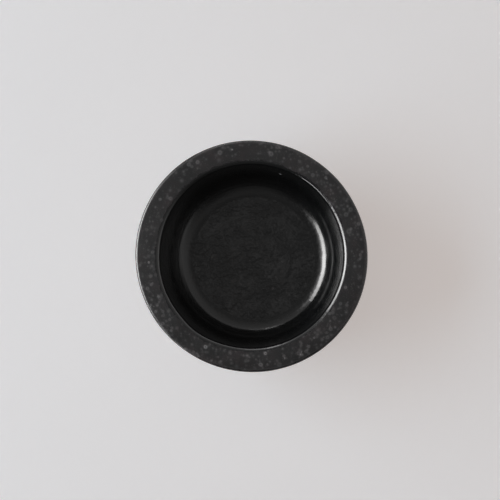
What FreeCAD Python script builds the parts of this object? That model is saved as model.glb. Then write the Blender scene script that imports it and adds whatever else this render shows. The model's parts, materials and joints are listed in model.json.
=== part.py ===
import FreeCAD, Part
import math
import os

# Dappen dish: a small thrown and glazed stoneware pot that stands free on a foot ring.
# Millimetres. +Z is up, the axis of the dish is Z, and the foot ring's contact plane is z = 0.
# Every surface is a revolution about Z. The radial section is drawn once, as one tangent-continuous
# path over the visible surface, and the clay under the glaze is the same path set back by the glaze.

# ---------------------------------------------------------------- driving dimensions
RIM_DIAMETER = 60.0          # over the outside of the rim
HEIGHT = 25.0                # foot to rim top
WELL_DEPTH = 19.5            # rim top to the well's floor
LIP_TOP_RADIUS = 25.15       # where the flat rim starts, beside the rounded inner lip
LIP_ROUNDING = 1.6           # radius of the rounded lip between the rim and the well wall
WALL_TAPER_DEG = 8.6         # well wall off vertical, narrower at the floor
WELL_FILLET = 5.7            # radius between the well wall and its floor
RIM_EDGE_ROUNDING = 0.8      # radius of the rim's upper outer edge
RIM_SIDE = 0.9               # upright run of the rim's side
RIM_UNDER_ROUNDING = 1.2     # radius of the rim's lower outer edge

GLAZE = 0.45                 # thickness of the glaze layers
GLAZE_END = 0.5              # length over which a glaze layer thins out at its edge
GLAZE_LAP = 0.4              # the rim glaze lies over the edges of its two neighbours by this much

# outside of the pot, below the rim edge, as runs and bends of the section
UNDERCUT_TURN_DEG = 38.0     # how far the rim's lower edge turns in from upright
UNDERCUT_RUN = 2.0           # straight run under the rim edge
COVE_RADIUS = 5.0            # hollow where the rim meets the wall
COVE_TURN_DEG = 34.0
BELLY_RADIUS = 42.0          # gentle swell of the wall
BELLY_TURN_DEG = 16.0
HEEL_RADIUS = 6.0            # turn from the wall in under the dish
HEEL_TURN_DEG = 44.0
UNDER_RUN = 1.3              # glazed run under the heel, as far as the glaze line

# foot ring
FOOT_CONTACT_WIDTH = 2.2     # flat that the dish stands on
FOOT_APPROACH = 0.9          # bare clay between the glaze line and the foot
FOOT_OUTER_FILLET = 1.1
FOOT_EDGE_ROUNDING = 0.4
FOOT_OUTER_DRAFT_DEG = 3.0
FOOT_INNER_DRAFT_DEG = 8.0
FOOT_INNER_FILLET = 0.8
RECESS_DEPTH = 1.5           # foot plane up to the glazed recess
RECESS_GLAZE_MARGIN = 1.0    # bare clay between the recess glaze and the foot's inner wall

OUT = "parts"


# ---------------------------------------------------------------- section path
class Path:
    """A chain of tangent lines and arcs in the (radius, z) half-plane.

    The heading is in degrees from the +radius direction. Positive turns are to the left.
    The clay is always on the right of the path.
    """

    def __init__(self, r, z, heading):
        self.r, self.z, self.h = r, z, heading
        self.start = (r, z)
        self.start_heading = heading
        self.moves = []
        self.pieces = []

    def line(self, length):
        a = math.radians(self.h)
        p0 = (self.r, self.z)
        self.r += length * math.cos(a)
        self.z += length * math.sin(a)
        self.pieces.append(("line", p0, (self.r, self.z)))
        self.moves.append(("line", length))
        return self

    def arc(self, radius, turn):
        side = 1.0 if turn > 0 else -1.0
        a = math.radians(self.h)
        cr = self.r - side * radius * math.sin(a)
        cz = self.z + side * radius * math.cos(a)
        p0 = (self.r, self.z)

        def at(t):
            b = math.radians(self.h + t)
            return (cr + side * radius * math.sin(b), cz - side * radius * math.cos(b))

        mid = at(turn / 2.0)
        end = at(turn)
        self.pieces.append(("arc", p0, mid, end))
        self.r, self.z = end
        self.h += turn
        self.moves.append(("arc", radius, turn))
        return self

    def set_back(self, depth, lead=0.0):
        """The same path moved to its right by depth, starting a run of length lead earlier."""
        a = math.radians(self.start_heading)
        p = Path(
            self.start[0] + depth * math.sin(a) - lead * math.cos(a),
            self.start[1] - depth * math.cos(a) - lead * math.sin(a),
            self.start_heading,
        )
        if lead:
            p.line(lead)
        for m in self.moves:
            if m[0] == "line":
                p.line(m[1])
            else:
                p.arc(m[1] + (depth if m[2] > 0 else -depth), m[2])
        return p

    @property
    def end(self):
        return (self.r, self.z)


def vec(p):
    return FreeCAD.Vector(p[0], 0.0, p[1])


def edges(pieces):
    out = []
    for p in pieces:
        if p[0] == "line":
            out.append(Part.LineSegment(vec(p[1]), vec(p[2])).toShape())
        else:
            out.append(Part.Arc(vec(p[1]), vec(p[2]), vec(p[3])).toShape())
    return out


def reverse(pieces):
    out = []
    for p in reversed(pieces):
        if p[0] == "line":
            out.append(("line", p[2], p[1]))
        else:
            out.append(("arc", p[3], p[2], p[1]))
    return out


def revolve(pieces):
    wire = Part.Wire(edges(pieces))
    if not wire.isClosed():
        raise RuntimeError("the section is not closed")
    solid = Part.Face(wire).revolve(
        FreeCAD.Vector(0, 0, 0), FreeCAD.Vector(0, 0, 1), 360.0
    )
    if solid.Volume < 0:
        solid.reverse()
    return solid


# ---------------------------------------------------------------- visible surface
aw = 90.0 - WALL_TAPER_DEG
sa, ca = math.sin(math.radians(aw)), math.cos(math.radians(aw))
floor_z = HEIGHT - WELL_DEPTH
wall_run = (WELL_DEPTH - (WELL_FILLET + LIP_ROUNDING) * (1.0 - ca)) / sa
floor_run = LIP_TOP_RADIUS - (WELL_FILLET + LIP_ROUNDING) * sa - wall_run * ca
rim_run = RIM_DIAMETER / 2.0 - RIM_EDGE_ROUNDING - LIP_TOP_RADIUS


def well_path():
    p = Path(0.0, floor_z, 0.0)
    p.line(floor_run).arc(WELL_FILLET, aw).line(wall_run).arc(LIP_ROUNDING, -aw)
    return p


def rim_path():
    return Path(LIP_TOP_RADIUS, HEIGHT, 0.0).line(rim_run)


def outer_path():
    p = Path(LIP_TOP_RADIUS + rim_run, HEIGHT, 0.0)
    p.arc(RIM_EDGE_ROUNDING, -90.0).line(RIM_SIDE)
    p.arc(RIM_UNDER_ROUNDING, -UNDERCUT_TURN_DEG).line(UNDERCUT_RUN)
    p.arc(COVE_RADIUS, COVE_TURN_DEG).arc(BELLY_RADIUS, -BELLY_TURN_DEG)
    p.arc(HEEL_RADIUS, -HEEL_TURN_DEG).line(UNDER_RUN)
    return p


well, rim, outer = well_path(), rim_path(), outer_path()
well_c = well.set_back(GLAZE).line(GLAZE_LAP)
rim_c = Path(LIP_TOP_RADIUS + GLAZE_LAP, HEIGHT - GLAZE, 0.0).line(rim_run - 2.0 * GLAZE_LAP)
outer_c = outer.set_back(GLAZE, GLAZE_LAP)

# the glaze thins to nothing over GLAZE_END along the clay past the end of the outer path
glaze_line = Path(outer_c.r, outer_c.z, outer_c.h)
glaze_line.line(GLAZE_END)

# ---------------------------------------------------------------- clay under and inside the foot
foot = Path(glaze_line.r, glaze_line.z, glaze_line.h)
foot.line(FOOT_APPROACH)
turn = -90.0 - FOOT_OUTER_DRAFT_DEG - foot.h
foot.arc(FOOT_OUTER_FILLET, turn)
edge = 90.0 - FOOT_OUTER_DRAFT_DEG
drop = foot.z - FOOT_EDGE_ROUNDING * (1.0 - math.cos(math.radians(edge)))
foot.line(drop / math.sin(math.radians(-foot.h)))
foot.arc(FOOT_EDGE_ROUNDING, -edge)
foot_outer_r = foot.r
foot.line(FOOT_CONTACT_WIDTH)
foot_inner_r = foot.r
edge = 90.0 - FOOT_INNER_DRAFT_DEG
foot.arc(FOOT_EDGE_ROUNDING, -edge)
ceiling = RECESS_DEPTH + GLAZE
rise = ceiling - foot.z - FOOT_INNER_FILLET * (1.0 - math.cos(math.radians(edge)))
foot.line(rise / math.sin(math.radians(foot.h + 360.0)))
foot.arc(FOOT_INNER_FILLET, edge)
ceiling_r = foot.r
foot.line(ceiling_r)
foot.pieces[-1] = ("line", foot.pieces[-1][1], (0.0, ceiling))
foot_before_ceiling = foot.pieces[:-1]

# recess glaze: its upper edge on the clay, and its visible flat
recess_r = ceiling_r - RECESS_GLAZE_MARGIN

# ---------------------------------------------------------------- sections, one per piece of the dish
body_section = (
    well_c.pieces
    + rim_c.pieces
    + outer_c.pieces
    + glaze_line.pieces
    + foot_before_ceiling
    + [
        ("line", (ceiling_r, ceiling), (recess_r, ceiling)),
        ("line", (recess_r, ceiling), (0.0, ceiling)),
        ("line", (0.0, ceiling), well_c.start),
    ]
)
well_section = (
    well.pieces
    + [("line", well.end, well_c.end)]
    + reverse(well_c.pieces)
    + [("line", well_c.start, well.start)]
)
rim_section = (
    rim.pieces
    + [("line", rim.end, rim_c.end)]
    + reverse(rim_c.pieces)
    + [("line", rim_c.start, rim.start)]
)
outer_section = (
    outer.pieces
    + [("line", outer.end, glaze_line.end)]
    + reverse(glaze_line.pieces)
    + reverse(outer_c.pieces)
    + [("line", outer_c.start, outer.start)]
)
recess_section = [
    ("line", (0.0, RECESS_DEPTH), (recess_r - GLAZE_END, RECESS_DEPTH)),
    ("line", (recess_r - GLAZE_END, RECESS_DEPTH), (recess_r, ceiling)),
    ("line", (recess_r, ceiling), (0.0, ceiling)),
    ("line", (0.0, ceiling), (0.0, RECESS_DEPTH)),
]

parts = {
    "stoneware_body": revolve(body_section),
    "well_glaze": revolve(well_section),
    "rim_glaze": revolve(rim_section),
    "outer_glaze": revolve(outer_section),
    "foot_recess_glaze": revolve(recess_section),
}

os.makedirs("parts", exist_ok=True)
for name, shape in parts.items():
    shape.exportStep(os.path.join(OUT, name + ".step"))
    b = shape.optimalBoundingBox(False, False)
    print(
        "%-18s valid=%s solids=%d volume=%.2f mm3  r=%.3f z=%.3f..%.3f"
        % (name, shape.isValid(), len(shape.Solids), shape.Volume, b.XMax, b.ZMin, b.ZMax)
    )

print("floor run %.3f, wall run %.3f, fillet top r %.3f" % (
    floor_run, wall_run, floor_run + WELL_FILLET * sa))
for label, p in (("outer", outer), ("glaze line", glaze_line), ("foot", foot)):
    for q in p.pieces:
        print("  %-10s %-4s to r=%.3f z=%.3f" % (label, q[0], q[-1][0], q[-1][1]))
print("foot contact r %.3f to %.3f, ceiling r %.3f, recess glaze r %.3f" % (
    foot_inner_r, foot_outer_r, ceiling_r, recess_r))
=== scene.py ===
import json
import math

import bmesh
import bpy
import numpy as np
from mathutils import Matrix, Vector

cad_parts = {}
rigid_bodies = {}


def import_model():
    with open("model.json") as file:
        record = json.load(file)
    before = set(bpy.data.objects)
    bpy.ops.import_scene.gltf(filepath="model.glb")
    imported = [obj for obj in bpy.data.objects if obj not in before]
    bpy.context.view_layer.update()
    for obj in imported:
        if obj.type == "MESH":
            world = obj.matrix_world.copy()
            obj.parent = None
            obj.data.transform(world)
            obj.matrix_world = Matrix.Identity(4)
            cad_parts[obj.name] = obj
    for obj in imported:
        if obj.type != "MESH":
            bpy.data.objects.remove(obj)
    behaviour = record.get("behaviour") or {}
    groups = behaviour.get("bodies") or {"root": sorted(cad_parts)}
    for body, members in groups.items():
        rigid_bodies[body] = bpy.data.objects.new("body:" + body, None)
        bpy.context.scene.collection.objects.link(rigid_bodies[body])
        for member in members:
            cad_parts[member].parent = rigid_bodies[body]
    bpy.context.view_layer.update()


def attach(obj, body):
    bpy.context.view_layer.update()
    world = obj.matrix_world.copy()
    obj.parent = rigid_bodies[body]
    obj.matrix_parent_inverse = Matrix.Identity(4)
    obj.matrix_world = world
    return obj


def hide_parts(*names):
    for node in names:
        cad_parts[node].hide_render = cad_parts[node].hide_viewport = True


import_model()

MM = 0.001
TAU = 2.0 * math.pi
RNG = np.random.default_rng(60525)


# =====================================================================================
# 1. The section of the dish: the clay surface as one tangent-continuous path.
#    Every glaze layer is the same path with a thickness along its normal.
# =====================================================================================
RIM_DIAMETER, HEIGHT, WELL_DEPTH = 60.0, 25.0, 19.5
LIP_TOP_RADIUS, LIP_ROUNDING, WALL_TAPER = 25.15, 1.6, 8.6
WELL_FILLET, EDGE_ROUNDING, RIM_SIDE, UNDER_ROUNDING = 5.7, 0.8, 0.9, 1.2
GLAZE, GLAZE_END, GLAZE_LAP = 0.45, 0.5, 0.4


class Path:
    """Lines and arcs in the (radius, z) half-plane. Positive turns are to the left."""

    def __init__(self, r, z, heading):
        self.r, self.z, self.h = float(r), float(z), math.radians(heading)
        self.length = 0.0
        self.prims = []  # (s0, s1, r0, z0, h0, curvature)
        self.marks = {}

    def _add(self, length, curvature):
        self.prims.append(
            (self.length, self.length + length, self.r, self.z, self.h, curvature)
        )
        if curvature == 0.0:
            self.r += length * math.cos(self.h)
            self.z += length * math.sin(self.h)
        else:
            h1 = self.h + length * curvature
            self.r += (math.sin(h1) - math.sin(self.h)) / curvature
            self.z += (math.cos(self.h) - math.cos(h1)) / curvature
            self.h = h1
        self.length += length

    def line(self, length):
        self._add(length, 0.0)
        return self

    def arc(self, radius, turn):
        side = 1.0 if turn > 0 else -1.0
        self._add(radius * abs(math.radians(turn)), side / radius)
        return self

    def mark(self, name):
        self.marks[name] = self.length
        return self

    def at(self, s):
        """radius, z and heading at run s, which may be an array."""
        s = np.asarray(s, float)
        r, z, h = np.empty_like(s), np.empty_like(s), np.empty_like(s)
        last = len(self.prims) - 1
        for i, (s0, s1, r0, z0, h0, k) in enumerate(self.prims):
            m = (s >= s0 if i else np.ones_like(s, bool)) & (
                s < s1 if i < last else np.ones_like(s, bool)
            )
            if not m.any():
                continue
            t = s[m] - s0
            if k == 0.0:
                r[m], z[m] = r0 + t * math.cos(h0), z0 + t * math.sin(h0)
                h[m] = h0
            else:
                hh = h0 + t * k
                r[m] = r0 + (np.sin(hh) - math.sin(h0)) / k
                z[m] = z0 + (math.cos(h0) - np.cos(hh)) / k
                h[m] = hh
        return r, z, h


def clay_path():
    aw = 90.0 - WALL_TAPER
    sa, ca = math.sin(math.radians(aw)), math.cos(math.radians(aw))
    wall = (WELL_DEPTH - (WELL_FILLET + LIP_ROUNDING) * (1.0 - ca)) / sa
    floor = LIP_TOP_RADIUS - (WELL_FILLET + LIP_ROUNDING) * sa - wall * ca
    rim = RIM_DIAMETER / 2.0 - EDGE_ROUNDING - LIP_TOP_RADIUS
    p = Path(0.0, HEIGHT - WELL_DEPTH - GLAZE, 0.0)
    p.line(floor).mark("fillet").arc(WELL_FILLET + GLAZE, aw).mark("wall").line(wall)
    p.mark("lip").arc(LIP_ROUNDING - GLAZE, -aw).mark("rim").line(rim).mark("edge")
    p.arc(EDGE_ROUNDING - GLAZE, -90.0).mark("side").line(RIM_SIDE).mark("tuck")
    p.arc(UNDER_ROUNDING - GLAZE, -38.0).mark("under").line(2.0).mark("cove")
    p.arc(5.0 + GLAZE, 34.0).mark("belly").arc(42.0 - GLAZE, -16.0).mark("heel")
    p.arc(6.0 - GLAZE, -44.0).line(1.3).mark("glaze_line").line(GLAZE_END).mark("bare")
    p.line(0.9)
    p.arc(1.1, -93.0 - math.degrees(p.h)).mark("foot_wall")
    edge = 87.0
    drop = p.z - 0.4 * (1.0 - math.cos(math.radians(edge)))
    p.line(drop / math.sin(-p.h)).arc(0.4, -edge).mark("foot_out")
    p.line(2.2).mark("foot_in")
    edge = 82.0
    p.arc(0.4, -edge)
    ceiling = 1.5 + GLAZE
    rise = ceiling - p.z - 0.8 * (1.0 - math.cos(math.radians(edge)))
    p.line(rise / math.sin(p.h + TAU)).arc(0.8, edge).mark("ceiling")
    p.line(1.0).mark("recess").line(p.r).mark("axis")
    return p


CLAY = clay_path()
S = CLAY.marks


# =====================================================================================
# 2. Noise and small helpers, all on arrays and all seeded
# =====================================================================================
_G = np.array(
    [
        (1, 1, 0), (-1, 1, 0), (1, -1, 0), (-1, -1, 0), (1, 0, 1), (-1, 0, 1), (1, 0, -1),
        (-1, 0, -1), (0, 1, 1), (0, -1, 1), (0, 1, -1), (0, -1, -1), (1, 1, 0), (-1, 1, 0),
        (0, -1, 1), (0, -1, -1),
    ],
    float,
)


def _hash(ix, iy, iz, seed):
    n = (ix * 374761393 + iy * 668265263 + iz * 1440662683 + seed * 974634777) & 0xFFFFFFFF
    n = ((n ^ (n >> 13)) * 1274126177) & 0xFFFFFFFF
    n = ((n ^ (n >> 15)) * 668265261) & 0xFFFFFFFF
    return (n ^ (n >> 16)) & 15


def noise(p, cell, seed=0):
    """Gradient noise of about -1 to 1 at points p (M, 3) in mm, with features near one cell."""
    q = np.asarray(p, float) / cell
    i = np.floor(q).astype(np.int64)
    f = q - i
    u = f * f * f * (f * (f * 6 - 15) + 10)
    out = np.zeros(len(q))
    for dx in (0, 1):
        for dy in (0, 1):
            for dz in (0, 1):
                g = _G[_hash(i[:, 0] + dx, i[:, 1] + dy, i[:, 2] + dz, seed)]
                d = f - np.array([dx, dy, dz])
                w = (
                    (u[:, 0] if dx else 1 - u[:, 0])
                    * (u[:, 1] if dy else 1 - u[:, 1])
                    * (u[:, 2] if dz else 1 - u[:, 2])
                )
                out += w * (g * d).sum(1)
    return out * 1.5


def fbm(p, cell, octaves, seed=0, fall=0.5):
    out, a, t = 0.0, 1.0, 0.0
    for o in range(octaves):
        out = out + a * noise(p, cell / 2**o, seed + 31 * o)
        t += a
        a *= fall
    return out / t


def smooth(a, b, x):
    t = np.clip((np.asarray(x, float) - a) / (b - a), 0.0, 1.0)
    return t * t * (3 - 2 * t)


def bell(x, width):
    return np.exp(-0.5 * (np.asarray(x, float) / width) ** 2)


def turn_gap(th, centre_deg):
    """Signed angle in degrees from centre_deg."""
    return (np.degrees(th) - centre_deg + 180.0) % 360.0 - 180.0


# =====================================================================================
# 3. Marks in the glaze: where each pale speck, pit and blemish sits
# =====================================================================================
def speck_field():
    """Pale crystal specks on the rim: (x, y, z, radius, strength, ring) in mm."""
    out = []
    thick = (-75.0, -48.0, 80.0, 20.0, -110.0, 196.0)
    tries = 0
    while len(out) < 350 and tries < 40000:
        tries += 1
        th = RNG.uniform(0, TAU)
        rad = math.sqrt(RNG.uniform(24.75**2, 29.35**2))
        w = 0.34
        for c in thick:
            w += 0.5 * float(bell(turn_gap(th, c), 17.0))
        w += 0.35 * float(noise(np.array([[rad * math.cos(th), rad * math.sin(th), 3.0]]), 5.0, 7)[0])
        w *= 0.55 + 0.45 * float(smooth(24.6, 26.2, rad))
        if RNG.uniform() > w:
            continue
        k = RNG.uniform()
        size = 0.125 + 0.105 * RNG.uniform() + (0.11 if k > 0.86 else 0.0)
        x, y = rad * math.cos(th), rad * math.sin(th)
        if any((x - a[0]) ** 2 + (y - a[1]) ** 2 < (1.35 * (size + a[3])) ** 2 for a in out):
            continue
        strength = 0.22 + 0.45 * RNG.beta(1.4, 2.4) + (0.35 if RNG.uniform() > 0.93 else 0.0)
        ring = 1.0 if RNG.uniform() > 0.78 else 0.0
        out.append((x, y, 0.0, size, strength, ring))
    return np.array(out)


def well_speck_field():
    """The few faint specks on the well's floor, mostly towards its lower right."""
    out = []
    for _ in range(90):
        th = math.radians(RNG.normal(-45, 62))
        rad = 16.5 * math.sqrt(RNG.uniform(0.02, 1.0))
        out.append(
            (rad * math.cos(th), rad * math.sin(th), 0.0, RNG.uniform(0.13, 0.24),
             RNG.uniform(0.05, 0.2), 0.0)
        )
    return np.array(out)


def pit_field(count, rmax, lo, hi, dlo, dhi, seed):
    g = np.random.default_rng(seed)
    th, rad = g.uniform(0, TAU, count), rmax * np.sqrt(g.uniform(0, 1, count))
    return np.c_[rad * np.cos(th), rad * np.sin(th), g.uniform(lo, hi, count), g.uniform(dlo, dhi, count)]


RIM_SPECKS = speck_field()
WELL_SPECKS = well_speck_field()
FLOOR_PITS = pit_field(230, 17.5, 0.14, 0.28, 0.018, 0.050, 11)


def blots(x, y, marks, ring_share=True):
    """Sum of soft dots at the marks, and the same without the hollow centres, at points x, y."""
    col, lift = np.zeros(len(x)), np.zeros(len(x))
    order = np.argsort(x)
    xs = x[order]
    for m in marks:
        reach = m[3] * 4.2
        a, b = np.searchsorted(xs, (m[0] - reach, m[0] + reach))
        if a == b:
            continue
        idx = order[a:b]
        d = np.hypot(x[idx] - m[0], y[idx] - m[1])
        near = d < reach
        idx, d = idx[near], d[near]
        base = bell(d, m[3])
        dot = base
        if ring_share and m[5] > 0.5:
            dot = 1.25 * bell(d - 1.45 * m[3], 0.62 * m[3]) + 0.25 * base
        col[idx] += m[4] * dot
        lift[idx] += m[4] * base
    return col, lift


def pits(x, y, marks):
    out = np.zeros(len(x))
    order = np.argsort(x)
    xs = x[order]
    for mx, my, rad, deep in marks:
        reach = rad * 3.4
        a, b = np.searchsorted(xs, (mx - reach, mx + reach))
        if a == b:
            continue
        idx = order[a:b]
        d = np.hypot(x[idx] - mx, y[idx] - my)
        out[idx] -= deep * bell(d, rad) - 0.35 * deep * bell(d - 1.9 * rad, 0.6 * rad)
    return out


# =====================================================================================
# 4. Where a point of the dish goes: section, relief of the surface, and hand-made wobble
# =====================================================================================
def inner_share(s):
    """1 on the well side, 0 on the outside, blended over the rim."""
    s = np.asarray(s, float)
    return 1.0 - smooth(S["rim"], S["edge"], s)


def place(s, th, off):
    """xyz in mm for run s and angle th, at height off over the clay, with the dish's wobble."""
    s, th, off = np.broadcast_arrays(
        np.asarray(s, float), np.asarray(th, float), np.asarray(off, float)
    )
    r, z, h = CLAY.at(s)
    r = r - np.sin(h) * off
    z = z + np.cos(h) * off
    g = smooth(5.0, 22.0, z)
    # the rim isn't quite round, and the lip has a thin spot at the lower left
    inner = inner_share(s)
    r = r * (1.0 + 0.0060 * g * (1.0 - inner) * np.cos(2 * (th + math.radians(40))))
    lipness = inner * smooth(19.0, 24.2, z)
    r = r + lipness * (
        0.26 * bell(turn_gap(th, -127.0), 7.5) - 0.10 * bell(turn_gap(th, -101.0), 9.0)
        + 0.045 * np.sin(3 * th + 0.8) + 0.03 * np.sin(7 * th + 2.1)
    )
    # the top isn't quite level
    z = z + g * (0.030 * np.sin(th * 2 + 0.6) + 0.018 * np.sin(th * 5 + 1.9) - 0.03)
    # the well sits slightly off the centre of the rim
    deep = inner * (1.0 - smooth(8.0, 22.0, z)) * smooth(1.0, 6.0, s)
    x = r * np.cos(th) - 0.02 * inner * smooth(1.0, 6.0, s) + 0.20 * deep
    y = r * np.sin(th) + 0.03 * inner * smooth(1.0, 6.0, s) + 0.02 * deep
    return np.c_[x, y, z]


def bead_gap(s, th):
    """Distance along the surface from the one bead on the wall, at the upper right, which carries a painted
    highlight.
    """
    r, z, h = CLAY.at(s)
    side = r * ((th - math.radians(71.0) + math.pi) % TAU - math.pi)
    return np.hypot(side, s - (S["lip"] - 5.0))


def well_relief(s, th):
    r, z, h = CLAY.at(s)
    p = np.c_[r * np.cos(th), r * np.sin(th), z]
    x, y = p[:, 0], p[:, 1]
    flat = 1.0 - smooth(S["fillet"] - 1.0, S["fillet"] + 3.5, s)
    wall = smooth(S["fillet"] + 3.0, S["wall"] + 1.0, s) * (1.0 - smooth(S["lip"] - 1.2, S["lip"] + 0.4, s))
    # throwing rings on the floor wind round a centre a little off the axis
    ox, oy = x - 0.75, y + 0.45
    rho, phi = np.hypot(ox, oy), np.arctan2(oy, ox)
    wander = 0.55 * fbm(p, 6.0, 2, 3)
    strength = np.clip(0.55 + 0.75 * noise(p, 7.0, 5), 0.1, 1.3)
    rings = 0.0050 * np.sin(TAU * (rho / 1.45 + phi / TAU + wander)) * strength
    swirl = 0.030 * bell(rho - 8.4 - 0.5 * np.sin(phi + 0.6), 0.55) * (0.35 + 0.65 * smooth(-1.0, 0.6, np.cos(phi + 0.9)))
    swirl += 0.020 * bell(rho - 3.6 + 0.3 * np.cos(phi), 0.5)
    swirl -= 0.022 * bell(rho - 13.9 + 0.4 * np.sin(2 * phi), 0.4) * smooth(0.1, 0.9, np.sin(phi + 0.25))
    patch = np.clip(0.75 + 0.9 * noise(p, 5.5, 13), 0.25, 1.6)
    q = p * np.array([0.88, 1.12, 1.0])
    peel = patch * (0.040 * noise(q, 0.95, 17) + 0.036 * noise(q, 0.55, 19)) + 0.022 * noise(p, 2.6, 23)
    d = flat * (rings + swirl) + peel * (0.10 + 0.90 * flat)
    # the floor eases into the curve of the wall
    d = d + 0.05 * bell(s - S["fillet"] + 0.6, 1.6)
    d = d + flat * pits(x, y, FLOOR_PITS)
    # the curve at the foot of the wall runs out gradually into the straight of the wall
    w, bend = 2.0, 0.5 / WELL_FILLET
    u = np.clip(s - (S["wall"] - w), 0.0, w)
    v = np.clip((S["wall"] + w) - s, 0.0, w)
    ease = np.where(s < S["wall"], -bend * u**3 / (6 * w), -bend * w * w / 3 + bend * v**3 / (6 * w))
    d = d + ease * (1.0 - smooth(S["wall"] + w, S["lip"], s))
    # finger rings up the wall
    zz = z + 0.35 * noise(p, 9.0, 29)
    d = d + wall * smooth(12.0, 20.0, z) * 0.0012 * np.sin(TAU * (zz / 2.15 + th / TAU))
    d = d + 0.018 * fbm(np.c_[24 * np.cos(th), 24 * np.sin(th), 0.45 * z], 9.0, 2, 37) * smooth(S["fillet"], S["wall"], s) * (1 - 0.6 * smooth(S["lip"], S["rim"], s))
    d = d + 0.24 * bell(bead_gap(s, th), 0.22)
    # the lip's glaze is uneven, most of all at the upper right
    uneven = 0.0045 + 0.013 * bell(turn_gap(th, 48.0), 17.0) + 0.006 * bell(turn_gap(th, -42.0), 14.0)
    d = d + bell(s - (S["lip"] + 0.9), 1.1) * uneven * noise(p, 0.8, 163)
    fade = 1.0 - smooth(S["rim"] - 0.5, S["rim"], s)
    return d * fade


def rim_blemish_and_glint(x, y):
    """Two small beads and a short scratch on the rim: lift and paleness; on the beads the paleness is a painted
    highlight.
    """
    lift, pale = np.zeros(len(x)), np.zeros(len(x))
    for bx, by, rad, hgt in ((-4.9, 27.5, 0.17, 0.05), (8.65, -26.3, 0.15, 0.045)):
        d = np.hypot(x - bx, y - by)
        lift += hgt * bell(d, rad)
        # painted highlight on each bead
        pale += 0.9 * bell(d, rad * 0.8)
    ax, ay, bx, by = 12.35, -26.25, 13.0, -24.55
    ux, uy = bx - ax, by - ay
    ln = math.hypot(ux, uy)
    t = np.clip(((x - ax) * ux + (y - ay) * uy) / ln**2, 0, 1)
    d = np.hypot(x - ax - t * ux, y - ay - t * uy)
    keep = (0.35 + 0.65 * smooth(0.25, 0.5, t) * (1 - 0.4 * smooth(0.55, 0.7, t)))
    lift -= 0.02 * bell(d, 0.10)
    pale += 0.75 * bell(d, 0.095) * keep
    return lift, pale


def rim_relief(s, th, lift):
    r, z, h = CLAY.at(s)
    p = np.c_[r * np.cos(th), r * np.sin(th), z]
    bl, _ = rim_blemish_and_glint(p[:, 0], p[:, 1])
    t = (s - S["rim"]) / (S["edge"] - S["rim"])
    d = -0.05 * np.clip(t, 0, 1) ** 2 - 0.03 * (2 * np.clip(t, 0, 1) - 1) ** 2
    d = d + 0.018 * noise(p, 5.0, 41) + 0.006 * noise(p, 1.1, 43) + 0.0032 * noise(p, 0.5, 47)
    mid = smooth(S["rim"] - 0.5, S["rim"], s) * (1.0 - smooth(S["edge"], S["side"], s))
    return mid * (d + 0.020 * lift + bl)


def outer_relief(s, th):
    r, z, h = CLAY.at(s)
    p = np.c_[r * np.cos(th), r * np.sin(th), z]
    on = smooth(S["edge"], S["side"] + 0.5, s)
    wall = smooth(S["under"] + 0.8, S["belly"], s) * (1.0 - smooth(S["heel"] + 2.0, S["glaze_line"], s))
    zz = z + 0.4 * noise(p, 10.0, 53)
    d = wall * (0.020 * np.sin(TAU * (zz / 3.1 + th / TAU)) + 0.007 * np.sin(TAU * (zz / 1.15 - th / TAU)))
    d = d + on * (0.05 * fbm(p, 11.0, 2, 59) + 0.010 * noise(p, 1.0, 61) + 0.014 * noise(p, 2.7, 67))
    # the glaze gathers into a roll just above its lower edge
    roll = bell(s - (S["glaze_line"] - 0.75), 0.62)
    d = d + roll * (0.13 + 0.07 * noise(np.c_[20 * np.cos(th), 20 * np.sin(th), 0 * th], 7.0, 71))
    # and thins where it breaks over the rim's edge
    d = d - 0.03 * bell(s - S["side"], 0.25)
    return d


def glaze_edge(th, base, amount, seed):
    """How far a layer's edge runs past its nominal line, by angle."""
    q = np.c_[base * np.cos(th), base * np.sin(th), 0 * th]
    return amount * (0.75 * noise(q, 8.0, seed) + 0.35 * noise(q, 2.6, seed + 1))


def foot_relief(s, th):
    """Turning marks, grit and small nicks on the bare clay."""
    r, z, h = CLAY.at(s)
    p = np.c_[r * np.cos(th), r * np.sin(th), z]
    on = smooth(S["bare"] - 0.1, S["bare"] + 0.5, s) * (1.0 - smooth(S["recess"] - 0.6, S["recess"] - 0.1, s))
    w = s + 0.12 * noise(p, 6.0, 73)
    d = 0.012 * np.sin(TAU * w / 0.62) + 0.007 * np.sin(TAU * w / 0.37 + 1.0)
    d = d * np.clip(0.6 + 0.8 * noise(p, 4.0, 79), 0.1, 1.3)
    d = d + 0.020 * noise(p, 0.5, 83) + 0.020 * noise(p, 1.3, 89) + 0.03 * noise(p, 5.0, 97)
    g = np.random.default_rng(5)
    edges = (S["foot_out"] - 0.3, S["foot_in"] + 0.3)
    for _ in range(26):
        a, e = g.uniform(0, TAU), edges[int(g.integers(0, 2))]
        wide, deep = g.uniform(0.18, 0.5), g.uniform(0.03, 0.10)
        d = d - deep * bell(np.hypot(r * ((th - a + math.pi) % TAU - math.pi), (s - e) * 1.2), wide)
    d = on * d
    # the ring's flat only loses material, so that it never goes below the plane it stands on
    low = smooth(S["foot_out"] - 0.35, S["foot_out"], s) * (1.0 - smooth(S["foot_in"], S["foot_in"] + 0.35, s))
    return d * (1 - low) + low * np.minimum(d - 0.012, 0.0)


def recess_relief(s, th):
    r, z, h = CLAY.at(s)
    p = np.c_[r * np.cos(th), r * np.sin(th), z]
    rho = np.hypot(p[:, 0] + 0.5, p[:, 1] - 0.3)
    phi = np.arctan2(p[:, 1] - 0.3, p[:, 0] + 0.5)
    d = 0.018 * np.sin(TAU * (rho / 1.9 - phi / TAU + 0.2 * noise(p, 6.0, 101)))
    d = d + 0.010 * noise(p, 1.0, 103) + 0.03 * noise(p, 5.0, 107)
    d = d + 0.07 * bell(s - (S["recess"] + 1.0), 0.55) * (1 + 0.6 * noise(p, 5.0, 109))
    return d


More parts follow.
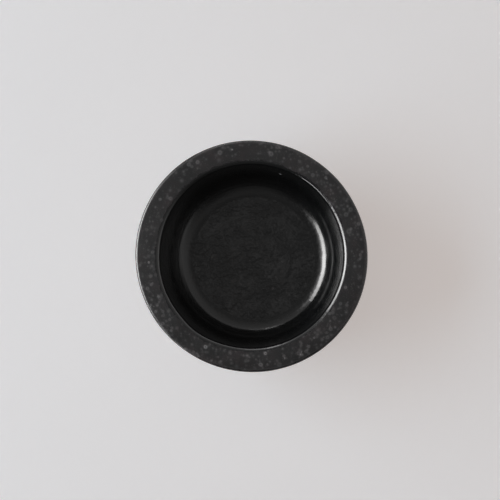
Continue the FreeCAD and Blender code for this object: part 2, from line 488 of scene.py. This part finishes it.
# =====================================================================================
# 5. Shells: rings of points joined into closed surfaces
# =====================================================================================
class Shell:
    def __init__(self):
        self.co, self.attr, self.faces, self.rings, self.n = [], {}, [], [], 0

    def ring(self, xyz, **attrs):
        xyz = np.asarray(xyz, float)
        self.rings.append((self.n, len(xyz)))
        self.co.append(xyz)
        for k in ("satin", "speck", "warm", "shade", "bare"):
            v = attrs.get(k)
            v = np.zeros(len(xyz)) if v is None else np.broadcast_to(v, (len(xyz),))
            self.attr.setdefault(k, []).append(np.asarray(v, float))
        self.n += len(xyz)
        return len(self.rings) - 1

    def bridge(self, a, b):
        (a0, na), (b0, nb) = self.rings[a], self.rings[b]
        add = self.faces.append
        if na == nb:
            for k in range(na):
                j = (k + 1) % na
                add((a0 + k, b0 + k, b0 + j, a0 + j))
        elif na == 1:
            for k in range(nb):
                add((a0, b0 + k, b0 + (k + 1) % nb))
        elif nb == 1:
            for k in range(na):
                add((a0 + k, b0, a0 + (k + 1) % na))
        elif nb == 2 * na:
            for k in range(na):
                j, m, e = (k + 1) % na, 2 * k + 1, (2 * k + 2) % nb
                add((a0 + k, b0 + 2 * k, b0 + m))
                add((a0 + k, b0 + m, a0 + j))
                add((a0 + j, b0 + m, b0 + e))
        elif na == 2 * nb:
            for k in range(nb):
                j, m, e = (k + 1) % nb, 2 * k + 1, (2 * k + 2) % na
                add((a0 + 2 * k, b0 + k, a0 + m))
                add((a0 + m, b0 + k, b0 + j))
                add((a0 + m, b0 + j, a0 + e))
        else:
            raise RuntimeError("rings of %d and %d points can't be joined" % (na, nb))

    def chain(self, first, last, close=False):
        for i in range(first, last):
            self.bridge(i, i + 1)
        if close:
            self.bridge(last, first)

    def build(self, name):
        me = bpy.data.meshes.new(name)
        me.from_pydata((np.vstack(self.co) * MM).tolist(), [], self.faces)
        me.update()
        me.polygons.foreach_set("use_smooth", np.ones(len(me.polygons), bool))
        for k, v in self.attr.items():
            a = me.attributes.new(k, "FLOAT", "POINT")
            a.data.foreach_set("value", np.concatenate(v).astype(np.float32))
        me.set_sharp_from_angle(angle=math.radians(38.0))
        ob = bpy.data.objects.new(name, me)
        bpy.context.scene.collection.objects.link(ob)
        bm = bmesh.new()
        bm.from_mesh(me)
        open_edges = sum(1 for e in bm.edges if len(e.link_faces) != 2)
        volume = bm.calc_volume(signed=True) * 1e9
        bm.free()
        tris = sum(len(f) - 2 for f in self.faces)
        print("%-18s %6d points %6d triangles, open edges %d, volume %.1f mm3" % (name, self.n, tris, open_edges, volume))
        if open_edges or volume <= 0:
            raise RuntimeError(name + " isn't a closed shell facing outwards")
        return ob


def angles(n):
    return np.arange(n) * (TAU / n)


def stations(s0, s1, step):
    n = max(1, int(math.ceil((s1 - s0) / step)))
    return np.linspace(s0, s1, n + 1)


def count_for(radius, spacing, most, least=16):
    n = most
    while n > least and TAU * radius / (n / 2) <= spacing:
        n //= 2
    return n


def ring_plan(stops, spacing, most):
    """[(s, points)] for the stops, never changing by more than a factor of two between rings."""
    plan = []
    for s in stops:
        rad = float(CLAY.at(np.array([s]))[0][0])
        plan.append([s, count_for(rad, spacing, most)])
    for i in range(1, len(plan)):
        plan[i][1] = min(plan[i][1], plan[i - 1][1] * 2)
    for i in range(len(plan) - 2, -1, -1):
        plan[i][1] = min(plan[i][1], plan[i + 1][1] * 2)
    return plan


FINE = 1024   # points round the rim, the lip and the outer edge
BODY = 512    # points round everything else that is seen
HID = 256     # points round what is covered


def rim_colour(s, th, co):
    """satin, speck, warm, side light and lift values for points on the lip, rim and outer edge; the side light is
    painted light and shading.
    """
    r, z, h = CLAY.at(s)
    p = np.c_[r * np.cos(th), r * np.sin(th), z]
    edge_noise = 0.25 * noise(p, 2.4, 113) + 0.12 * noise(p, 0.8, 127)
    inner = smooth(S["rim"] - 0.62, S["rim"] - 0.06, s + edge_noise * 0.8)
    outer = 1.0 - 0.5 * smooth(S["edge"] + 0.02, S["edge"] + 0.35, s + edge_noise * 0.4) - 0.5 * smooth(S["edge"] + 0.12, S["edge"] + 0.50, s + edge_noise * 0.4)
    satin = inner * outer
    col, lift = blots(co[:, 0], co[:, 1], RIM_SPECKS)
    _, pale = rim_blemish_and_glint(co[:, 0], co[:, 1])
    top = smooth(HEIGHT - 1.3, HEIGHT - 0.5, z + GLAZE)
    # the beads' paleness is a painted highlight; the crystal specks are the glaze's own
    speck = np.clip(col, 0, 1.6) * top * (0.45 + 0.55 * satin) + 1.8 * pale * top
    warm = np.clip(0.35 + 0.9 * fbm(p, 6.0, 2, 131), 0, 1)
    # painted light and shading: the rim's black is lifted on the side facing the window and lowered to the south
    # and north-west; the noise added after it is random tone
    shade = 0.5 - 0.32 * bell(turn_gap(th, -98.0), 34.0) + 0.30 * bell(turn_gap(th, 178.0), 26.0)
    shade = shade - 0.12 * bell(turn_gap(th, 135.0), 22.0) + 0.22 * noise(p, 7.0, 151)
    return satin, speck, warm, np.clip(shade, 0, 1), lift * top


# ------------------------------------------------------------------ well lining
def make_well():
    sh = Shell()
    first = sh.ring([place(0.0, 0.0, GLAZE)[0]])
    stops = np.concatenate([
        stations(0.0, S["fillet"], 0.26)[1:],
        stations(S["fillet"], S["wall"], 0.25)[1:],
        stations(S["wall"], S["lip"] - 0.6, 0.32)[1:],
        stations(S["lip"] - 0.6, S["lip"], 0.2)[1:],
    ])
    plan = ring_plan(stops, 0.33, BODY)
    plan[0][1] = 16
    for i in range(1, len(plan)):
        plan[i][1] = min(plan[i][1], plan[i - 1][1] * 2)
    plan += [[s, FINE] for s in stations(S["lip"], S["rim"], 0.1)[1:]]
    for s, n in plan:
        th = angles(n)
        ss = np.full(n, s)
        co = place(ss, th, GLAZE)
        satin, speck, warm, shade, lift = rim_colour(ss, th, co)
        relief = well_relief(ss, th) + rim_relief(ss, th, lift)
        co = place(ss, th, GLAZE + relief)
        if s < S["fillet"] + 2.0:
            c, _ = blots(co[:, 0], co[:, 1], WELL_SPECKS, False)
            speck = speck + c
        # painted highlight: the bead on the wall is painted near-white at its centre
        speck = speck + 2.8 * bell(bead_gap(ss, th), 0.20)
        # the well's wall is a little less glossy than its floor
        dull = smooth(S["fillet"] + 3.4, S["fillet"] + 5.4, ss) * (1.0 - smooth(S["lip"] - 1.4, S["lip"] - 0.5, ss))
        sh.ring(co, satin=satin, speck=speck, warm=warm, shade=shade, bare=dull)
    # under the rim glaze's edge, then back down the clay to the axis
    th = angles(FINE)
    sh.ring(place(np.full(FINE, S["rim"] + GLAZE_LAP), th, 0.0))
    n = FINE
    for s in np.concatenate([
        stations(S["lip"], S["rim"], 0.3)[::-1],
        stations(S["wall"], S["lip"], 2.4)[::-1][1:],
        stations(S["fillet"], S["wall"], 0.55)[::-1][1:],
        stations(0.0, S["fillet"], 1.9)[::-1][1:-1],
    ]):
        rad = float(CLAY.at(np.array([s]))[0][0])
        want = HID if rad > 4 else 64
        n = max(want, n // 2)
        sh.ring(place(np.full(n, s), angles(n), 0.0))
    last = sh.ring([place(0.0, 0.0, 0.0)[0]])
    sh.chain(first, last)
    return sh.build("well_lining")


# ------------------------------------------------------------------ rim band
def make_rim():
    sh = Shell()
    first = len(sh.rings)
    th = angles(FINE)
    for s in stations(S["rim"], S["edge"], 0.125):
        ss = np.full(FINE, s)
        co = place(ss, th, GLAZE)
        satin, speck, warm, shade, lift = rim_colour(ss, th, co)
        relief = well_relief(ss, th) + rim_relief(ss, th, lift)
        sh.ring(place(ss, th, GLAZE + relief), satin=satin, speck=speck, warm=warm, shade=shade)
    for s in (S["edge"] - GLAZE_LAP, 0.5 * (S["edge"] + S["rim"]), S["rim"] + GLAZE_LAP):
        sh.ring(place(np.full(FINE, s), th, 0.0))
    sh.chain(first, len(sh.rings) - 1, close=True)
    return sh.build("rim_band")


# ------------------------------------------------------------------ outside coat
def make_outer():
    sh = Shell()
    first = len(sh.rings)
    plan = [[s, FINE] for s in stations(S["edge"], S["side"], 0.045)]
    plan += [[s, FINE] for s in stations(S["side"], S["tuck"], 0.2)[1:]]
    plan += [[s, FINE] for s in stations(S["tuck"], S["under"], 0.09)[1:]]
    plan += [[s, BODY] for s in stations(S["under"], S["cove"], 0.33)[1:]]
    plan += [[s, BODY] for s in stations(S["cove"], S["heel"], 0.34)[1:]]
    plan += [[s, BODY] for s in stations(S["heel"], S["glaze_line"] - 1.6, 0.27)[1:]]
    plan += [[s, BODY] for s in stations(S["glaze_line"] - 1.6, S["glaze_line"], 0.16)[1:]]
    for s, n in plan:
        th = angles(n)
        run = smooth(S["glaze_line"] - 3.0, S["glaze_line"], s) * glaze_edge(th, 21.0, 0.55, 137)
        ss = np.full(n, s)
        co = place(ss, th, GLAZE)
        satin, speck, warm, shade, lift = rim_colour(ss, th, co)
        relief = outer_relief(ss, th) + rim_relief(ss, th, lift)
        # the end of the layer rounds off
        left = S["glaze_line"] + 0.12 - s
        thick = GLAZE * np.sqrt(np.clip(1 - np.clip(1 - left / 1.0, 0, 1) ** 2, 0.0, 1)) if left < 1.0 else GLAZE
        sh.ring(place(ss + run, th, np.maximum(thick, 0.16) + relief * min(1.0, max(0.35, left))),
                satin=satin, speck=speck, warm=warm, shade=shade)
    th = angles(BODY)
    run = glaze_edge(th, 21.0, 0.55, 137)
    for extra, off in ((0.10, 0.13), (0.17, 0.03), (0.20, -0.04)):
        sh.ring(place(S["glaze_line"] + extra + run, th, off))
    n = BODY
    for s in np.concatenate([
        stations(S["heel"], S["glaze_line"] - 0.6, 0.7)[::-1],
        stations(S["belly"], S["heel"], 2.2)[::-1][1:],
        stations(S["cove"], S["belly"], 0.8)[::-1][1:],
        stations(S["under"], S["cove"], 1.0)[::-1][1:],
        stations(S["tuck"], S["under"], 0.17)[::-1][1:],
        [S["side"]],
        stations(S["edge"], S["side"], 0.11)[::-1][1:],
    ]):
        n = HID if s > S["edge"] + 0.3 else min(FINE, n * 2)
        sh.ring(place(np.full(n, s), angles(n), 0.0))
    th = angles(FINE)
    if sh.rings[-1][1] != FINE:
        raise RuntimeError("the hidden side doesn't end fine enough")
    sh.ring(place(np.full(FINE, S["edge"] - GLAZE_LAP), th, 0.0))
    sh.chain(first, len(sh.rings) - 1, close=True)
    return sh.build("outer_coat")


# ------------------------------------------------------------------ glaze in the foot ring
def make_recess():
    sh = Shell()
    th = angles(BODY)
    run = -glaze_edge(th, 14.0, 0.5, 149)
    first = sh.ring(place(S["recess"] + 0.0 + run, th, -0.04))
    for extra, off in ((0.02, 0.05), (0.07, 0.14)):
        sh.ring(place(S["recess"] + extra + run, th, off))
    plan = ring_plan(stations(S["recess"] + 0.14, S["axis"], 0.25)[:-1], 0.33, BODY)
    for s, n in plan:
        th = angles(n)
        k = s - S["recess"]
        run = -glaze_edge(th, 14.0, 0.5, 149) * (1 - smooth(0.3, 3.5, k))
        thick = GLAZE * math.sqrt(max(0.0, 1 - max(0.0, 1 - k / 1.0) ** 2))
        relief = recess_relief(np.full(n, s), th) * min(1.0, max(0.3, k))
        sh.ring(place(s + run, th, max(thick, 0.2) + relief))
    last = sh.ring([place(S["axis"], 0.0, GLAZE)[0]])
    back = sh.ring([place(S["axis"], 0.0, 0.0)[0]])
    sh.chain(first, last)
    stops = stations(S["recess"] + 0.4, S["axis"], 1.8)[::-1][1:]
    n = 16
    prev = None
    ids = [back]
    for s in np.concatenate([[S["axis"] - 0.35, S["axis"] - 0.7, S["axis"] - 1.1], stops]):
        rad = float(CLAY.at(np.array([s]))[0][0])
        want = BODY if s < S["recess"] + 0.6 else (HID if rad > 6 else 64)
        n = min(want, n * 2) if prev is not None else 16
        ids.append(sh.ring(place(np.full(n, s), angles(n), 0.0)))
        prev = s
    while sh.rings[ids[-1]][1] != BODY:
        n *= 2
        s = S["recess"] + 0.3
        ids.append(sh.ring(place(np.full(n, s), angles(n), 0.0)))
    for a, b in zip(ids, ids[1:]):
        sh.bridge(a, b)
    sh.bridge(ids[-1], first)
    # the two axis points are joined only through their own fans
    return sh.build("recess_coat")


# ------------------------------------------------------------------ clay
def make_clay():
    sh = Shell()
    first = sh.ring([place(0.0, 0.0, 0.0)[0]])
    hidden_in = np.concatenate([
        stations(0.0, S["fillet"], 1.9)[1:],
        stations(S["fillet"], S["wall"], 0.55)[1:],
        stations(S["wall"], S["lip"], 2.4)[1:],
        stations(S["lip"], S["rim"], 0.3)[1:],
        stations(S["rim"], S["edge"], 1.0)[1:],
        stations(S["edge"], S["side"], 0.11)[1:],
        stations(S["side"], S["tuck"], 0.5)[1:],
        stations(S["tuck"], S["under"], 0.17)[1:],
        stations(S["under"], S["cove"], 1.0)[1:],
        stations(S["cove"], S["belly"], 0.8)[1:],
        stations(S["belly"], S["heel"], 2.2)[1:],
        stations(S["heel"], S["glaze_line"] - 1.2, 0.7)[1:],
    ])
    n = 16
    for s in hidden_in:
        rad = float(CLAY.at(np.array([s]))[0][0])
        n = min(HID if rad > 4 else 64, n * 2)
        sh.ring(place(np.full(n, s), angles(n), 0.0), bare=0.0)
    seen = np.concatenate([
        stations(S["glaze_line"] - 1.0, S["bare"], 0.16),
        stations(S["bare"], S["foot_wall"], 0.125)[1:],
        stations(S["foot_wall"], S["foot_out"], 0.11)[1:],
        stations(S["foot_out"], S["foot_in"], 0.13)[1:],
        stations(S["foot_in"], S["ceiling"], 0.11)[1:],
        stations(S["ceiling"], S["recess"] + 1.0, 0.15)[1:],
    ])
    for s in seen:
        ss, th = np.full(BODY, s), angles(BODY)
        sh.ring(place(ss, th, foot_relief(ss, th)), bare=1.0)
    n = BODY
    for s in stations(S["recess"] + 2.0, S["axis"], 1.5)[:-1]:
        rad = float(CLAY.at(np.array([s]))[0][0])
        want = HID if rad > 6 else (64 if rad > 2.0 else 32)
        n = max(want, n // 2)
        sh.ring(place(np.full(n, s), angles(n), 0.0))
    last = sh.ring([place(S["axis"], 0.0, 0.0)[0]])
    sh.chain(first, last)
    return sh.build("stoneware")


pieces = {
    "well": make_well(),
    "rim": make_rim(),
    "outer": make_outer(),
    "recess": make_recess(),
    "clay": make_clay(),
}


# =====================================================================================
# 6. Materials
# =====================================================================================
class Nodes:
    def __init__(self, name):
        self.mat = bpy.data.materials.new(name)
        self.mat.use_nodes = True
        self.nt = self.mat.node_tree
        self.bsdf = self.nt.nodes["Principled BSDF"]
        self.tc = self.nt.nodes.new("ShaderNodeTexCoord")

    def node(self, kind, **inputs):
        n = self.nt.nodes.new(kind)
        for k, v in inputs.items():
            self.put(n.inputs[k.replace("_", " ")], v)
        return n

    def put(self, socket, v):
        if isinstance(v, bpy.types.NodeSocket):
            self.nt.links.new(v, socket)
        else:
            socket.default_value = v

    def attr(self, name):
        n = self.nt.nodes.new("ShaderNodeAttribute")
        n.attribute_type = "GEOMETRY"
        n.attribute_name = name
        return n.outputs["Fac"]

    def noise(self, feature_mm, detail=3.0, rough=0.5, distort=0.0):
        n = self.node("ShaderNodeTexNoise", Scale=1000.0 / feature_mm, Detail=detail, Roughness=rough, Distortion=distort)
        self.nt.links.new(self.tc.outputs["Object"], n.inputs["Vector"])
        return n.outputs["Fac"]

    def voronoi(self, feature_mm, feature="F1"):
        n = self.node("ShaderNodeTexVoronoi", Scale=1000.0 / feature_mm)
        n.feature = feature
        self.nt.links.new(self.tc.outputs["Object"], n.inputs["Vector"])
        return n.outputs["Distance"]

    def math(self, op, a, b=0.0, clamp=False):
        n = self.nt.nodes.new("ShaderNodeMath")
        n.operation = op
        n.use_clamp = clamp
        self.put(n.inputs[0], a)
        self.put(n.inputs[1], b)
        return n.outputs[0]

    def remap(self, x, a, b, c, d):
        n = self.nt.nodes.new("ShaderNodeMapRange")
        n.interpolation_type = "SMOOTHSTEP"
        for i, v in enumerate((x, a, b, c, d)):
            self.put(n.inputs[i], v)
        return n.outputs[0]

    def mix(self, fac, a, b):
        n = self.nt.nodes.new("ShaderNodeMix")
        n.data_type = "RGBA"
        self.put(n.inputs[0], fac)
        self.put(n.inputs[6], a)
        self.put(n.inputs[7], b)
        return n.outputs[2]

    def bump(self, height, strength, distance_mm, normal=None):
        n = self.node("ShaderNodeBump", Strength=strength, Distance=distance_mm * MM, Height=height)
        if normal is not None:
            self.nt.links.new(normal, n.inputs["Normal"])
        return n.outputs["Normal"]


def rgba(r, g, b):
    return (r, g, b, 1.0)


def glaze_material(name, black, satin_black, gloss=0.13, satin_rough=0.36, peel=1.0):
    m = Nodes(name)
    satin, speck, warm, shade = m.attr("satin"), m.attr("speck"), m.attr("warm"), m.attr("shade")
    cloud = m.noise(4.0, 4.0, 0.55)
    fine = m.noise(0.34, 3.0, 0.6)
    grain = m.noise(0.16, 2.0, 0.5)
    # colour: black, a little lighter and warmer where satin, pale at the specks; the satin black is mixed from a
    # lit and a dimmed copy by the side attribute, as painted light and shading round the dish
    painted_dim_black = tuple(0.45 * v for v in satin_black)
    light = tuple(1.45 * v for v in satin_black)
    base = m.mix(satin, rgba(*black), m.mix(shade, rgba(*painted_dim_black), rgba(*light)))
    warmth = m.math("MULTIPLY", m.math("MULTIPLY", warm, satin), m.remap(cloud, 0.35, 0.7, 0.15, 1.0))
    base = m.mix(m.math("MULTIPLY", warmth, 0.8), base, rgba(satin_black[0] * 1.75, satin_black[1] * 1.15, satin_black[2] * 1.2))
    mott = m.math("MULTIPLY", m.remap(fine, 0.56, 0.76, 0.0, 0.42), satin)
    pale = m.math("ADD", speck, mott, clamp=True)
    pale = m.math("MULTIPLY", pale, m.remap(grain, 0.25, 0.75, 0.72, 1.12), clamp=True)
    tone = m.mix(m.remap(cloud, 0.4, 0.6, 0.0, 1.0), rgba(0.078, 0.076, 0.074), rgba(0.080, 0.071, 0.070))
    base = m.mix(pale, base, tone)
    # near-white where the speck value passes 0.95: the painted highlights on the beads, and the strongest crystal
    # specks
    base = m.mix(m.remap(speck, 0.95, 1.7, 0.0, 1.0), base, rgba(0.42, 0.41, 0.40))
    m.put(m.bsdf.inputs["Base Color"], base)
    # roughness: gloss or satin, a touch rougher at the specks, with soft drift
    rough = m.remap(satin, 0.0, 1.0, gloss, satin_rough)
    rough = m.math("ADD", rough, m.remap(cloud, 0.3, 0.7, -0.025, 0.035))
    rough = m.math("ADD", rough, m.math("MULTIPLY", pale, 0.06))
    rough = m.math("ADD", rough, m.math("MULTIPLY", m.attr("bare"), 0.08), clamp=True)
    m.put(m.bsdf.inputs["Roughness"], rough)
    m.bsdf.inputs["IOR"].default_value = 1.52
    n = m.bump(m.noise(0.8, 3.0, 0.55), 0.35 * peel, 0.02)
    n = m.bump(fine, 0.30 * peel, 0.010, n)
    m.put(m.bsdf.inputs["Normal"], n)
    return m.mat


def clay_material():
    m = Nodes("bare_stoneware")
    cloud = m.noise(5.0, 4.0, 0.6)
    grit = m.noise(0.22, 3.0, 0.65)
    iron = m.voronoi(0.55)
    base = m.mix(m.remap(cloud, 0.3, 0.7, 0.0, 1.0), rgba(0.37, 0.255, 0.170), rgba(0.47, 0.345, 0.245))
    base = m.mix(m.remap(grit, 0.45, 0.75, 0.0, 0.35), base, rgba(0.56, 0.45, 0.34))
    base = m.mix(m.math("MULTIPLY", m.remap(iron, 0.10, 0.24, 1.0, 0.0), m.remap(m.noise(1.6, 2.0), 0.5, 0.62, 0.0, 0.8)), base, rgba(0.09, 0.05, 0.03))
    m.put(m.bsdf.inputs["Base Color"], base)
    m.put(m.bsdf.inputs["Roughness"], m.remap(grit, 0.3, 0.7, 0.78, 0.92))
    m.bsdf.inputs["IOR"].default_value = 1.45
    n = m.bump(grit, 0.55, 0.03)
    n = m.bump(m.noise(0.09, 2.0, 0.5), 0.4, 0.012, n)
    m.put(m.bsdf.inputs["Normal"], n)
    return m.mat


well_mat = glaze_material("gloss_black_well", (0.0052, 0.0052, 0.0052), (0.0075, 0.0072, 0.0073), gloss=0.15, satin_rough=0.30, peel=1.0)
rim_mat = glaze_material("satin_speckled_rim", (0.0045, 0.0045, 0.0045), (0.0075, 0.0072, 0.0073), gloss=0.15, satin_rough=0.30, peel=1.0)
outer_mat = glaze_material("gloss_black_outside", (0.0070, 0.0070, 0.0071), (0.0125, 0.0120, 0.0122), gloss=0.09, peel=0.7)
clay_mat = clay_material()

plan = (
    ("well", well_mat, "well_glaze", "gloss_black_glaze"),
    ("rim", rim_mat, "rim_glaze", "satin_speckled_glaze"),
    ("outer", outer_mat, "outer_glaze", "gloss_black_glaze"),
    ("recess", outer_mat, "foot_recess_glaze", "gloss_black_glaze"),
    ("clay", clay_mat, "stoneware_body", "bare_stoneware"),
)
for key, mat, node, slot in plan:
    ob = pieces[key]
    ob.data.materials.append(mat)
    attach(ob, "root")
    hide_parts(node)


# =====================================================================================
# 7. Stage, light and camera
# =====================================================================================
def make_floor():
    bm = bmesh.new()
    inner = [bm.verts.new((x, y, 0.0)) for x, y in ((-3, -3), (3, -3), (3, 3), (-3, 3))]
    bm.faces.new(inner)
    me = bpy.data.meshes.new("floor")
    bm.to_mesh(me)
    bm.free()
    ob = bpy.data.objects.new("floor", me)
    bpy.context.scene.collection.objects.link(ob)
    m = Nodes("pale_floor")
    m.put(m.bsdf.inputs["Base Color"], m.mix(m.remap(m.noise(60.0, 2.0), 0.3, 0.7, 0.0, 1.0), rgba(0.810, 0.758, 0.738), rgba(0.796, 0.745, 0.725)))
    m.bsdf.inputs["Roughness"].default_value = 0.95
    # a low glow stands in for the light that bounces about the room and throws no shadow
    m.bsdf.inputs["Emission Color"].default_value = rgba(1.0, 0.915, 0.878)
    m.bsdf.inputs["Emission Strength"].default_value = 0.435
    me.materials.append(m.mat)
    return ob


make_floor()

WINDOW_AT, WINDOW_FROM = 0.60, math.radians(175.5)


def area_light(name, w, h, radiance, colour):
    light = bpy.data.lights.new(name, "AREA")
    light.shape = "RECTANGLE"
    light.size, light.size_y = w, h
    light.energy = math.pi * w * h * radiance
    light.color = colour
    ob = bpy.data.objects.new(name, light)
    bpy.context.scene.collection.objects.link(ob)
    return ob


def window(name, half_width_deg, low_deg, high_deg, radiance, dist, colour, seen, turn_deg=0.0):
    """An upright pane facing the dish. Its share of soft light and its glint are set apart."""
    e0, e1 = math.radians(low_deg), math.radians(high_deg)
    h = (math.tan(e1) - math.tan(e0)) * dist
    ob = area_light(name, 2.0 * math.tan(math.radians(half_width_deg)) * dist, h, radiance, colour)
    a = WINDOW_FROM + math.radians(turn_deg)
    c, s = math.cos(a), math.sin(a)
    ob.location = (dist * c, dist * s, 0.5 * (math.tan(e0) + math.tan(e1)) * dist)
    side, up, back = Vector((-s, c, 0.0)), Vector((0.0, 0.0, 1.0)), Vector((c, s, 0.0))
    ob.rotation_mode = "QUATERNION"
    ob.rotation_quaternion = Matrix((side, up, back)).transposed().to_quaternion()
    if seen == "glint":
        ob.visible_diffuse = False
    else:
        ob.visible_glossy = False
    return ob


COOL, PLAIN = (0.58, 0.82, 1.0), (1.0, 0.995, 0.99)
window("window_light", 32.0, 18.0, 47.0, 3.0, WINDOW_AT, COOL, "light")
window("glint_wide", 31.5, 9.0, 46.0, 8.3, WINDOW_AT * 0.99, PLAIN, "glint")
window("glint_mid", 21.0, 12.0, 45.0, 4.4, WINDOW_AT * 0.985, PLAIN, "glint")
window("glint_core", 11.0, 14.0, 44.0, 4.0, WINDOW_AT * 0.98, PLAIN, "glint")
window("glint_above", 42.0, 44.0, 56.0, 0.9, WINDOW_AT * 0.975, PLAIN, "glint")
window("glint_south_west", 11.0, 5.0, 18.0, 7.5, WINDOW_AT * 0.97, PLAIN, "glint", 48.0)
window("glint_streak", 4.0, 8.0, 27.0, 3.2, WINDOW_AT * 0.965, PLAIN, "glint", -70.5)
window("glint_north", 13.0, 8.0, 27.0, 1.0, WINDOW_AT * 0.97, PLAIN, "glint", -74.0)

# soft light from above, and more of it on the dish, to match the floor's own soft glow
dish_only = bpy.data.collections.new("dish_only")
for piece in bpy.data.objects:
    if piece.type == "MESH" and piece.name != "floor":
        dish_only.objects.link(piece)
for name, radiance, receivers in (("overhead_fill", 0.24, None), ("dish_fill", 1.15, dish_only)):
    fill = area_light(name, 2.4, 2.4, radiance, (1.0, 0.971, 0.963))
    fill.location = (-0.15, 0.05, 1.4 if receivers is None else 1.2)
    fill.visible_glossy = False
    if receivers is not None:
        fill.light_linking.receiver_collection = receivers


def make_world():
    w = bpy.data.worlds.new("soft_room")
    bpy.context.scene.world = w
    w.cycles_visibility.diffuse = False
    w.use_nodes = True
    nt = w.node_tree
    bg = nt.nodes["Background"]
    tc = nt.nodes.new("ShaderNodeTexCoord")
    xyz = nt.nodes.new("ShaderNodeSeparateXYZ")
    nt.links.new(tc.outputs["Generated"], xyz.inputs[0])

    def put(sock, v):
        if isinstance(v, bpy.types.NodeSocket):
            nt.links.new(v, sock)
        else:
            sock.default_value = v

    def op(kind, a, b):
        n = nt.nodes.new("ShaderNodeMath")
        n.operation = kind
        put(n.inputs[0], a)
        put(n.inputs[1], b)
        return n.outputs[0]

    def step(x, a, b, c, d):
        n = nt.nodes.new("ShaderNodeMapRange")
        n.interpolation_type = "SMOOTHSTEP"
        for i, v in enumerate((x, a, b, c, d)):
            put(n.inputs[i], v)
        return n.outputs[0]

    x, y, z = xyz.outputs
    # walls that get brighter lower down, most of all to the north and east
    east = op("MULTIPLY", op("MAXIMUM", x, 0.0), op("MINIMUM", op("ADD", 1.0, y), 1.0))
    corner = op("MULTIPLY", op("MAXIMUM", op("MULTIPLY", x, y), 0.0), -1.3)
    walls = op("ADD", op("ADD", 0.45, corner), op("ADD", op("MULTIPLY", east, 0.80), op("MULTIPLY", y, 0.75)))
    walls = op("MULTIPLY", op("SUBTRACT", 1.0, z), op("MAXIMUM", walls, 0.0))
    # the ceiling: lighter to the east, with a pale patch overhead
    ceiling = op("ADD", op("MULTIPLY", step(x, 0.13, 0.90, 0.0, 0.16), op("MINIMUM", op("ADD", 1.0, op("MULTIPLY", y, 1.6)), 1.0)), step(y, -0.30, 0.25, 0.07, 0.15))
    ceiling = op("MAXIMUM", op("MULTIPLY", ceiling, step(z, 0.50, 0.85, 0.0, 1.0)), 0.0)
    dx, dy = op("ADD", x, 0.033), op("SUBTRACT", y, 0.035)
    patch = op("SQRT", op("ADD", op("MULTIPLY", op("MULTIPLY", dx, dx), 0.7), op("MULTIPLY", dy, dy)), 0.0)
    shape = op("MULTIPLY", step(patch, 0.005, 0.080, 0.40, 0.0), step(z, 0.88, 0.97, 0.0, 1.0))
    south = op("MULTIPLY", step(y, -0.45, -0.10, 0.075, 0.0), step(op("ABSOLUTE", x, 0.0), 0.12, 0.60, 1.0, 0.0))
    room = op("ADD", op("ADD", op("ADD", 0.06, south), walls), op("ADD", ceiling, shape))
    # the wall round the window
    c, s, e = math.cos(WINDOW_FROM), math.sin(WINDOW_FROM), math.radians(33.0)
    near = op("ADD", op("MULTIPLY", x, c * math.cos(e)), op("ADD", op("MULTIPLY", y, s * math.cos(e)), op("MULTIPLY", z, math.sin(e))))
    halo = step(near, 0.80, 0.99, 0.0, 0.8)
    # pale surroundings low down
    low = op("MULTIPLY", op("ADD", 0.25, op("MULTIPLY", y, 0.30)), step(z, 0.20, 0.33, 1.0, 0.0))
    low = op("MAXIMUM", low, 0.0)
    put(bg.inputs[0], (1.0, 0.99, 0.985, 1.0))
    put(bg.inputs[1], op("ADD", room, op("ADD", halo, low)))


make_world()


def make_camera():
    cam = bpy.data.cameras.new("camera")
    ob = bpy.data.objects.new("camera", cam)
    bpy.context.scene.collection.objects.link(ob)
    ob.location = (18.5 * MM, -19.0 * MM, 565.0 * MM)
    aim = Vector((-0.30 * MM, 1.54 * MM, 25.0 * MM))
    d = (aim - ob.location).normalized()
    right = d.cross(Vector((0, 1, 0))).normalized()
    up = right.cross(d).normalized()
    ob.rotation_mode = "QUATERNION"
    ob.rotation_quaternion = Matrix((right, up, -d)).transposed().to_quaternion()
    cam.sensor_width = 24.0
    cam.lens = 24.0 * (aim - ob.location).length / (500 * 0.2578 * MM)
    cam.clip_start, cam.clip_end = 0.01, 20.0
    bpy.context.scene.camera = ob


make_camera()
bpy.context.scene.view_settings.view_transform = "Standard"
